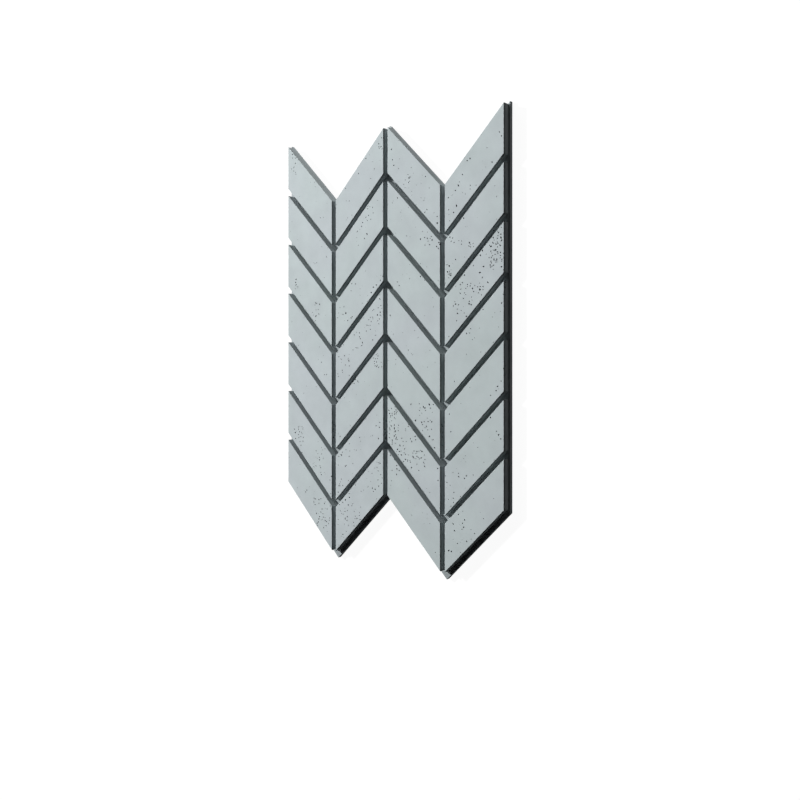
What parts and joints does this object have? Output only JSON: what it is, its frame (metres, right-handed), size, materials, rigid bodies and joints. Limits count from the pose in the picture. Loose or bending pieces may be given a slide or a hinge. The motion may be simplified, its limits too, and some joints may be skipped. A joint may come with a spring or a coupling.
{
  "type": "concrete wall panel",
  "caption": "Cast concrete wall panel with raised slanted blocks in a zigzag pattern, open grooves and zigzag top and bottom edges, for cladding a wall.",
  "frame": {"origin": "middle of the back face, at the centre of the panel's length and width; the panel lies on its back", "axes": "+X across the columns to the right, +Y along the columns to the panel's top, +Z out of its face"},
  "size_m": [0.52, 0.8136, 0.02],
  "materials": {
    "concrete": "matte cast concrete with scattered air pores"
  },
  "bodies": {
    "root": {"concrete_panel": "concrete"}
  },
  "joints": []
}
